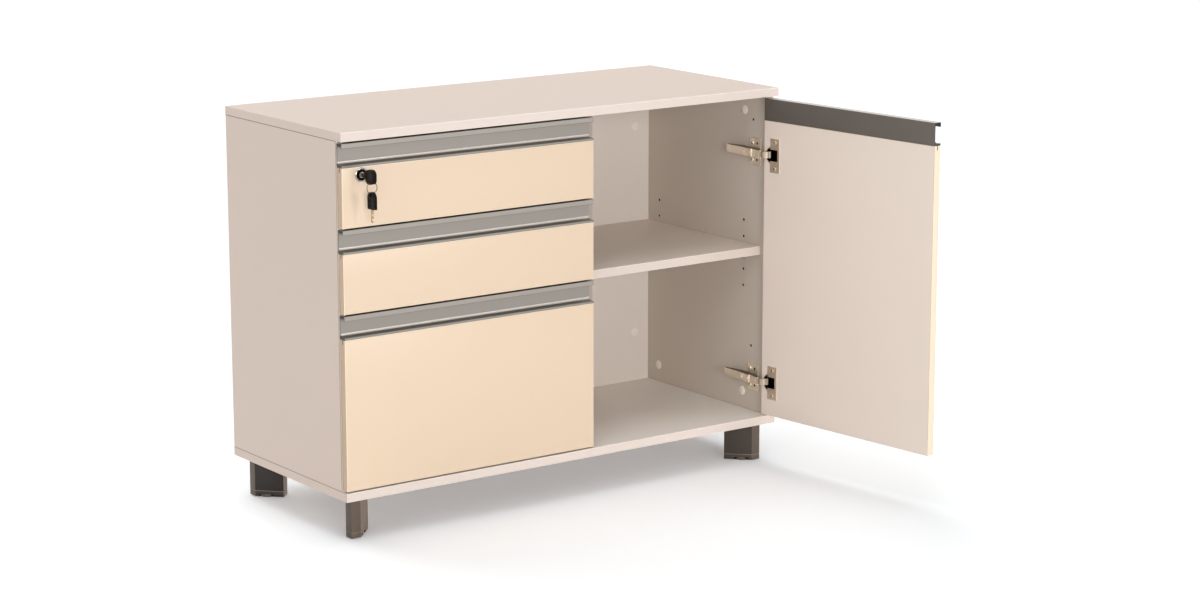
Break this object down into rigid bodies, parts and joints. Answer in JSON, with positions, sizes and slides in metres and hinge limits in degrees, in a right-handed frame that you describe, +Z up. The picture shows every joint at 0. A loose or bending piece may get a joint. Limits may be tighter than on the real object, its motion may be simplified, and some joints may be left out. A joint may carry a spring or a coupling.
{
  "type": "drawer and door office cabinet",
  "caption": "Low office cabinet on blade feet: drawers with aluminium grip profiles and a central lock beside a compartment with an adjustable shelf and a door on concealed hinges.",
  "frame": {"origin": "centre of the bounding box's bottom face, on the floor, with the door standing open as in the picture", "axes": "+X along the front to the right as one faces it, +Y from the fronts to the back, +Z up"},
  "size_m": [0.9952, 0.8134, 0.725],
  "materials": {
    "black": "gloss",
    "board": "satin melamine",
    "cap": "satin",
    "foot": "fine texture",
    "front": "glossy lacquer",
    "nickel": "nickel plated",
    "profile": "satin anodised",
    "sheet": "powder coated",
    "steel": "zinc plated"
  },
  "bodies": {
    "cabinet": {"top_panel": "board", "bottom_panel": "board", "left_side_panel": "board", "right_side_panel": "board", "centre_partition": "board", "back_panel": "board", "shelf": "board", "shelf_supports": "steel", "cams": "steel", "cam_caps": "cap", "cam_bolts": "steel", "feet": "foot", "foot_caps": "foot", "foot_screws": "steel", "runner_screws": "steel", "bottom_runner_outer": "steel", "middle_runner_outer": "steel", "top_runner_outer": "steel", "hinge_plates": "nickel", "hinge_plate_screws": "nickel", "hinge_arms": "nickel", "lock_bar_guides": "black"},
    "bottom_drawer": {"bottom_drawer_front": "front", "bottom_drawer_profile": "profile", "bottom_drawer_box": "sheet", "bottom_runner_inner": "steel", "file_rails": "steel"},
    "middle_drawer": {"middle_drawer_front": "front", "middle_drawer_profile": "profile", "middle_drawer_box": "sheet", "middle_runner_inner": "steel"},
    "top_drawer": {"top_drawer_front": "front", "top_drawer_profile": "profile", "top_drawer_box": "sheet", "top_runner_inner": "steel", "lock_housing": "nickel", "lock_rosette": "nickel"},
    "bottom_runner": {"bottom_runner_middle": "steel"},
    "middle_runner": {"middle_runner_middle": "steel"},
    "top_runner": {"top_runner_middle": "steel"},
    "hinge_links": {"hinge_links": "nickel"},
    "door": {"door_board": "front", "door_profile": "profile", "hinge_cups": "nickel", "hinge_cup_screws": "nickel"},
    "lock_plug": {"lock_plug": "nickel", "lock_cam": "steel", "key": "black"},
    "key_ring": {"key_ring": "steel"},
    "spare_key": {"spare_key": "black"},
    "lock_bar": {"lock_bar": "steel", "lock_bar_fork": "steel", "lock_bar_pegs": "steel"},
    "leveller_front_left": {"leveller_front_left": "foot"},
    "leveller_front_right": {"leveller_front_right": "foot"},
    "leveller_rear_left": {"leveller_rear_left": "foot"},
    "leveller_rear_right": {"leveller_rear_right": "foot"}
  },
  "joints": [
    {"name": "bottom_drawer_slide", "type": "slide", "parent": "cabinet", "child": "bottom_drawer", "axis": [0, -1, 0], "range_m": [0, 0.3]},
    {"name": "bottom_runner_slide", "type": "slide", "parent": "cabinet", "child": "bottom_runner", "axis": [0, -1, 0], "range_m": [0, 0.15]},
    {"name": "middle_drawer_slide", "type": "slide", "parent": "cabinet", "child": "middle_drawer", "axis": [0, -1, 0], "range_m": [0, 0.3]},
    {"name": "middle_runner_slide", "type": "slide", "parent": "cabinet", "child": "middle_runner", "axis": [0, -1, 0], "range_m": [0, 0.15]},
    {"name": "top_drawer_slide", "type": "slide", "parent": "cabinet", "child": "top_drawer", "axis": [0, -1, 0], "range_m": [0, 0.3]},
    {"name": "top_runner_slide", "type": "slide", "parent": "cabinet", "child": "top_runner", "axis": [0, -1, 0], "range_m": [0, 0.15]},
    {"name": "door_link_swing", "type": "hinge", "parent": "cabinet", "child": "hinge_links", "pos_m": [0.43036, 0.01966, 0.4], "axis": [0, 0, 1], "range_deg": [-7.83, 53.1]},
    {"name": "door_swing", "type": "hinge", "parent": "hinge_links", "child": "door", "pos_m": [0.44149, 0.00489, 0.4], "axis": [0, 0, 1], "range_deg": [-149, 21.73]},
    {"name": "lock_turn", "type": "hinge", "parent": "top_drawer", "child": "lock_plug", "pos_m": [-0.45764, 0.00666, 0.65], "axis": [0, 1, 0], "range_deg": [0, 90]},
    {"name": "lock_bar_lift", "type": "slide", "parent": "cabinet", "child": "lock_bar", "axis": [0, 0, 1], "range_m": [0, 0.01136]},
    {"name": "key_ring_swing", "type": "hinge", "parent": "lock_plug", "child": "key_ring", "pos_m": [-0.45764, -0.02784, 0.6416], "axis": [1, 0, 0], "range_deg": [-60, 15]},
    {"name": "spare_key_swing", "type": "hinge", "parent": "key_ring", "child": "spare_key", "pos_m": [-0.45764, -0.02784, 0.61926], "axis": [1, 0, 0], "range_deg": [-60, 15]},
    {"name": "leveller_front_left_turn", "type": "hinge", "parent": "cabinet", "child": "leveller_front_left", "pos_m": [-0.45378, 0.05053, 0], "axis": [0, 0, 1], "range_deg": [0, 1800]},
    {"name": "leveller_front_right_turn", "type": "hinge", "parent": "cabinet", "child": "leveller_front_right", "pos_m": [0.41849, 0.05053, 0], "axis": [0, 0, 1], "range_deg": [0, 1800]},
    {"name": "leveller_rear_left_turn", "type": "hinge", "parent": "cabinet", "child": "leveller_rear_left", "pos_m": [-0.45378, 0.3628, 0], "axis": [0, 0, 1], "range_deg": [0, 1800]},
    {"name": "leveller_rear_right_turn", "type": "hinge", "parent": "cabinet", "child": "leveller_rear_right", "pos_m": [0.41849, 0.3628, 0], "axis": [0, 0, 1], "range_deg": [0, 1800]}
  ],
  "couplings": [
    {"joint": "bottom_runner_slide", "follows": "bottom_drawer_slide", "ratio": 0.5},
    {"joint": "middle_runner_slide", "follows": "middle_drawer_slide", "ratio": 0.5},
    {"joint": "top_runner_slide", "follows": "top_drawer_slide", "ratio": 0.5},
    {"joint": "door_link_swing", "follows": "door_swing", "ratio": -0.3557},
    {"joint": "lock_bar_lift", "follows": "lock_turn", "m_per_rad": 0.0072025}
  ]
}
